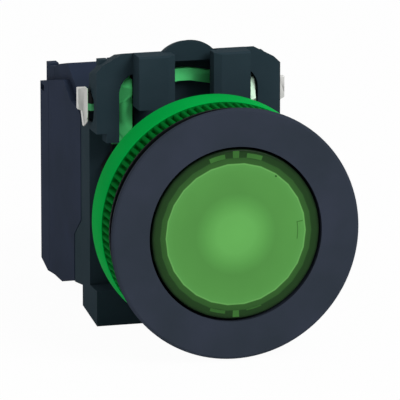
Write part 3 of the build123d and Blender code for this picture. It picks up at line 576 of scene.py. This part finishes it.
bare = add(tree, "ShaderNodeMath", {"operation": "MAXIMUM"}, {
    0: outer.outputs[0], 1: right.outputs[0]})
nut_reflection_and_steel = add(tree, "ShaderNodeMixRGB", sockets={
    "Fac": bare.outputs[0], "Color1": linear("#70f09c"), "Color2": linear("#cfcfcc")})
above = add(tree, "ShaderNodeMapRange", sockets={
    "Value": axes.outputs["Z"], "From Min": slot_foot[0], "From Max": slot_foot[1]})
arch = add(tree, "ShaderNodeMath", {"operation": "LESS_THAN"}, {
    0: aside.outputs[0], 1: arch_edge})
leg = add(tree, "ShaderNodeMapRange", sockets={
    "Value": aside.outputs[0], "From Min": leg_edge[0], "From Max": leg_edge[1]})
open_part = add(tree, "ShaderNodeMath", {"operation": "MAXIMUM"}, {
    0: arch.outputs[0], 1: leg.outputs[0]})
outside_slot_shade = add(tree, "ShaderNodeMath", {"operation": "MULTIPLY"}, {
    0: above.outputs[0], 1: open_part.outputs[0]})
past_start = add(tree, "ShaderNodeMath", {"operation": "GREATER_THAN"}, {
    0: aside.outputs[0], 1: bend_start})
before_end = add(tree, "ShaderNodeMath", {"operation": "LESS_THAN"}, {
    0: aside.outputs[0], 1: bend_end})
bend = add(tree, "ShaderNodeMath", {"operation": "MULTIPLY"}, {
    0: past_start.outputs[0], 1: before_end.outputs[0]})
band = add(tree, "ShaderNodeMath", {"operation": "COMPARE"}, {
    0: axes.outputs["Z"], 1: glint_height, 2: glint_half})
rim = add(tree, "ShaderNodeMath", {"operation": "GREATER_THAN"}, {
    0: aside.outputs[0], 1: glint_start})
rim_share = add(tree, "ShaderNodeMath", {"operation": "MULTIPLY"}, {
    0: rim.outputs[0], 1: glint_share})
painted_glint = add(tree, "ShaderNodeMath", {"operation": "MULTIPLY"}, {
    0: band.outputs[0], 1: rim_share.outputs[0]})
bend_painted_shade = add(tree, "ShaderNodeMath", {"operation": "SUBTRACT", "use_clamp": True}, {
    0: bend.outputs[0], 1: painted_glint.outputs[0]})
outside_painted_shade = add(tree, "ShaderNodeMath", {"operation": "SUBTRACT", "use_clamp": True}, {
    0: outside_slot_shade.outputs[0], 1: bend_painted_shade.outputs[0]})
painted_strip_colour = add(tree, "ShaderNodeMixRGB", sockets={
    "Fac": outside_painted_shade.outputs[0], "Color1": linear("#0c0e0f"), "Color2": nut_reflection_and_steel.outputs["Color"]})
rolling = add(tree, "ShaderNodeTexNoise", sockets={
    "Vector": place, "Scale": 1 / (0.25 * MM), "Detail": 3.0})
matt = add(tree, "ShaderNodeMapRange", sockets={
    "Value": right.outputs[0], "To Min": 0.66, "To Max": 0.3})
gloss = add(tree, "ShaderNodeMath", {"operation": "MULTIPLY_ADD"}, {
    0: rolling.outputs["Fac"], 1: 0.1, 2: matt.outputs["Result"]})
cut_edge = add(tree, "ShaderNodeBevel", {"samples": 6}, {"Radius": 0.12 * MM})
marks = add(tree, "ShaderNodeBump", sockets={
    "Height": rolling.outputs["Fac"], "Distance": 0.002 * MM, "Strength": 0.4,
    "Normal": cut_edge.outputs["Normal"]})
shader = add(tree, "ShaderNodeBsdfPrincipled", sockets={
    "Base Color": painted_strip_colour.outputs["Color"], "Metallic": outside_painted_shade.outputs[0],
    "Roughness": gloss.outputs[0], "Normal": marks.outputs["Normal"],
    "Specular IOR Level": 0.1})
finish_material(tree, shader)


def pressed_forward(x, z):
    """How far a point of the strip is pushed to the front, in millimetres."""
    if abs(x) < arch_half:
        return arch_lean * (arch_peak - arch_slope * max(0.0, abs(x) - arch_flat) - z)
    margin = wall / 4
    across = boss_inner + margin < abs(x) < boss_outer - margin
    along = boss_bottom + margin < z < boss_top - margin
    if not (across and along):
        return 0.0
    if x < 0:
        return boss_depth
    twisted = min(deepest, deepest - leg_twist * (twist_edge - x))
    return twisted - leg_lean * max(0.0, z - lean_start)


shape = bmesh.new()
shape.from_mesh(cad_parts["lock_clip"].data)
bmesh.ops.remove_doubles(shape, verts=shape.verts, dist=merge_distance)
columns = (arch_half - wall / 2, arch_half + wall / 2,
           boss_inner, boss_inner + wall, boss_outer - wall, boss_outer)
levels = (boss_bottom, boss_bottom + wall, lean_start, boss_top - wall, boss_top)
cuts = [((side * column * MM, 0, 0), (1, 0, 0)) for side in (-1, 1) for column in columns]
cuts += [((0, 0, level * MM), (0, 0, 1)) for level in levels]
for point, normal in cuts:
    everything = list(shape.verts) + list(shape.edges) + list(shape.faces)
    bmesh.ops.bisect_plane(
        shape, geom=everything, plane_co=point, plane_no=normal, dist=plane_tolerance)
for vert in shape.verts:
    vert.co.y -= pressed_forward(vert.co.x / MM, vert.co.z / MM) * MM
clip_mesh = bpy.data.meshes.new("pressed_clip")
shape.to_mesh(clip_mesh)
shape.free()
show("pressed_clip", clip_mesh, clip_steel, "clip", "lock_clip")

# Contact blocks and lamp block
# Three narrow cases side by side behind the collar, the lamp's in the middle. Each is moulded
# and closed by a cover of the same plastic that snaps on from the rear.

# Polyamide with the bezel's grain in a bluer batch, so the blocks look cooler than the collar.
block_plastic = moulded("polyamide_blue_grey", "#2f384b", "#2b3444", 0.7, 0.22, 0.012)
for block in ("left_contact", "right_contact", "lamp"):
    dress(block_plastic, block + "_case", block + "_cover")

# Terminals and contacts
# Turned steel screws with stamped wire clamps, both nickel plated. Each screw goes down into a
# stamped brass strip that is pushed into its case, and the bridges that join two strips are brass.

# Nickel plated steel: a light, warm mirror that fine marks of drawing blur one way. They are
# about 0.02 mm wide and are drawn at 0.12 mm, so that they show.
plated_steel, tree, place = start_material("steel_nickel_plated")
stretch = add(tree, "ShaderNodeMapping", sockets={"Vector": place, "Scale": (0.15, 1.0, 1.0)})
drawing = add(tree, "ShaderNodeTexNoise", sockets={
    "Vector": stretch.outputs[0], "Scale": 1 / (0.12 * MM), "Detail": 3.0})
gloss = add(tree, "ShaderNodeMapRange", sockets={
    "Value": drawing.outputs["Fac"], "To Min": 0.28, "To Max": 0.4})
marks = add(tree, "ShaderNodeBump", sockets={
    "Height": drawing.outputs["Fac"], "Distance": 0.002 * MM, "Strength": 0.4})
shader = add(tree, "ShaderNodeBsdfPrincipled", sockets={
    "Base Color": linear("#d8d8d5"), "Metallic": 1.0, "Roughness": gloss.outputs["Result"],
    "Normal": marks.outputs["Normal"]})
finish_material(tree, shader)

# Rolled brass: a yellow mirror with brownish clouds of tarnish, each a millimetre or two wide.
strip_brass, tree, place = start_material("brass_strip")
tarnish = add(tree, "ShaderNodeTexNoise", sockets={
    "Vector": place, "Scale": 1 / (1.5 * MM), "Detail": 4.0})
tone = add(tree, "ShaderNodeMixRGB", sockets={
    "Fac": tarnish.outputs["Fac"], "Color1": linear("#c9a45a"), "Color2": linear("#b08a45")})
shader = add(tree, "ShaderNodeBsdfPrincipled", sockets={
    "Base Color": tone.outputs["Color"], "Metallic": 1.0, "Roughness": 0.32})
finish_material(tree, shader)

for block in ("left", "right", "lamp"):
    dress(plated_steel, block + "_terminal_screws", block + "_wire_clamps")
    dress(strip_brass, block + "_upper_contact", block + "_lower_contact")
dress(strip_brass, "left_bridge", "right_bridge")


def shortening_spring(name, node):
    """A copy of the named CAD coil with doubled points merged, shown in the housing with a mesh of
    its own.
    """
    mesh = bpy.data.meshes.new(name)
    coil = bmesh.new()
    coil.from_mesh(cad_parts[node].data)
    bmesh.ops.remove_doubles(coil, verts=coil.verts, dist=merge_distance)
    coil.to_mesh(mesh)
    coil.free()
    piece = show(name, mesh, plated_steel, "housing", node)
    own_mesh(piece)


# Polyester: a clear red with a smooth satin gloss, as the moving part of a contact often has.
plunger_red = moulded("polyester_red", "#b3261e", "#a5211a", 0.38, 0.4, 0.006)
dress(plunger_red, "left_plunger", "right_plunger")
dress(plated_steel, "left_bridge_spring", "right_bridge_spring")
shortening_spring("return_coil", "return_spring")
for side in ("left", "right"):
    shortening_spring(side + "_plunger_coil", side + "_plunger_spring")

# Lamp and its board
# The lamp is a dome of epoxy, cast in a mould over its chip. It is soldered to a small board of
# glass-fibre laminate that stands across the lamp block.

# Cast epoxy: clear in the real lamp, and drawn as a nearly white, glossy dome with no grain,
# because it stays hidden in the carrier.
lamp_epoxy = moulded("epoxy_clear", "#dfe6df", "#d6ded6", 0.12, 1.0, 0.001)
dress(lamp_epoxy, "lamp")

# Laminate under green solder mask: a dark satin green with the fine, uneven relief of the glass.
board_green = moulded("glass_fibre_board", "#1d5a34", "#184d2c", 0.4, 0.3, 0.006)
dress(board_green, "lamp_board")

# Floor and surroundings
# A white paper floor in even light from all round, as in a studio tent. The eye, and what the
# metal mirrors, get the plain white of the paper, while the object is lit by less than that.
floor_half = 4.0
floor_level = cad_box[0][2]
floor_white_share = 0.97
daylight = 0.42


def seen_directly(tree):
    """1 for what the camera, gloss and clear pieces see, and 0 for what lights the object."""
    ray = add(tree, "ShaderNodeLightPath").outputs
    seen = add(tree, "ShaderNodeMath", {"operation": "MAXIMUM"}, {
        0: ray["Is Camera Ray"], 1: ray["Is Glossy Ray"]})
    return add(tree, "ShaderNodeMath", {"operation": "MAXIMUM"}, {
        0: seen.outputs[0], 1: ray["Is Transmission Ray"]}).outputs[0]


floor_mesh = bpy.data.meshes.new("floor")
floor_mesh.from_pydata([
    (-floor_half, -floor_half, floor_level), (floor_half, -floor_half, floor_level),
    (floor_half, floor_half, floor_level), (-floor_half, floor_half, floor_level),
], [], [(0, 1, 2, 3)])
floor = bpy.data.objects.new("floor", floor_mesh)
bpy.context.collection.objects.link(floor)

# White paper: the floor reads as plain white, and keeps a faint trace of the object's shadow.
paper, tree, place = start_material("paper_white")
white_part = add(tree, "ShaderNodeMath", {"operation": "MULTIPLY"}, {
    0: seen_directly(tree), 1: floor_white_share})
fibre = add(tree, "ShaderNodeBsdfDiffuse", sockets={"Color": linear("#fafafa")})
glow = add(tree, "ShaderNodeEmission", sockets={
    "Color": (1.0, 1.0, 1.0, 1.0), "Strength": 1.0})
shader = add(tree, "ShaderNodeMixShader", sockets={
    "Fac": white_part.outputs[0], 1: fibre.outputs[0], 2: glow.outputs[0]})
finish_material(tree, shader)
floor_mesh.materials.append(paper)

world = bpy.data.worlds.new("studio")
bpy.context.scene.world = world
world.use_nodes = True
tree = world.node_tree
tree.nodes.clear()
level = add(tree, "ShaderNodeMapRange", sockets={
    "Value": seen_directly(tree), "To Min": daylight, "To Max": 1.0})
sky = add(tree, "ShaderNodeBackground", sockets={
    "Color": (1.0, 1.0, 1.0, 1.0), "Strength": level.outputs["Result"]})
add(tree, "ShaderNodeOutputWorld", sockets={"Surface": sky.outputs[0]})

# Studio lights
# One large softbox above and to the right of the camera gives the object its shape, and a weak
# one on the left opens the shadows. Places are in metres and power is in watts.
middle = Vector((0.0, 0.025, 0.0))
softbox_size = 0.6


def softbox(name, place, power):
    """A square softbox that faces the middle of the object."""
    light = bpy.data.lights.new(name, "AREA")
    light.energy = power
    light.size = softbox_size
    stand = bpy.data.objects.new(name, light)
    bpy.context.collection.objects.link(stand)
    aim = (middle - Vector(place)).to_track_quat("-Z", "Y").to_matrix().to_4x4()
    stand.matrix_world = Matrix.Translation(place) @ aim


softbox("key", (0.5, -0.8, 0.75), power=8.5)
softbox("fill", (-0.8, -0.3, 0.5), power=0.15)
